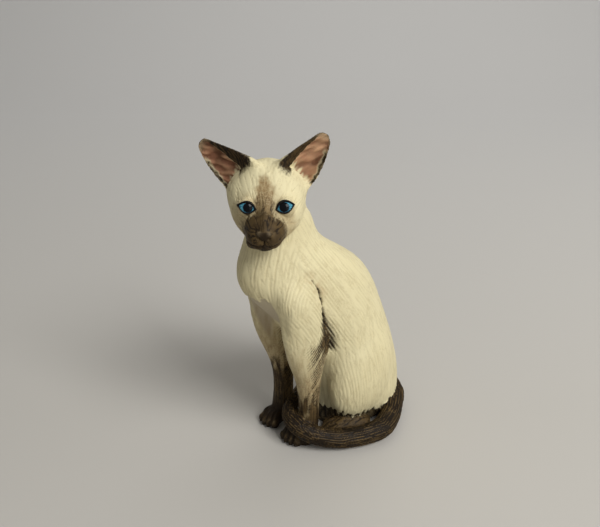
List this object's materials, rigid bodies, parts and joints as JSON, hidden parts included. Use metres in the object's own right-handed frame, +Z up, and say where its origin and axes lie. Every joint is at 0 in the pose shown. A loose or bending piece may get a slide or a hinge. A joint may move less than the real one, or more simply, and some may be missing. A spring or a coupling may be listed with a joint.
{
  "type": "seated cat figurine",
  "caption": "Seated short-haired cat figurine in painted ceramic, with its head turned, large ears, glazed eyes and its tail curled round its forepaws.",
  "frame": {"origin": "on the torso's flat underside, on the cat's own middle plane, between the hind feet", "axes": "+Z up, the cat faces -Y, its left side is +X"},
  "size_m": [0.0472, 0.0736, 0.1178],
  "materials": {
    "body": "satin, cream paint with ochre wash in the fur grooves",
    "head": "satin, cream with a dark brown mask",
    "ear": "satin, pinkish brown inside and dark brown outside",
    "leg": "satin, cream shading to dark brown paws",
    "paw": "satin, dark brown",
    "tail": "satin, dark brown with tan streaks",
    "eye": "high gloss, blue with a round black pupil"
  },
  "bodies": {
    "root": {"torso_casting": "body", "head_casting": "head", "left_ear": "ear", "right_ear": "ear", "left_foreleg": "leg", "right_foreleg": "leg", "left_hind_foot": "paw", "right_hind_foot": "paw", "tail": "tail", "left_eye": "eye", "right_eye": "eye"}
  },
  "joints": []
}
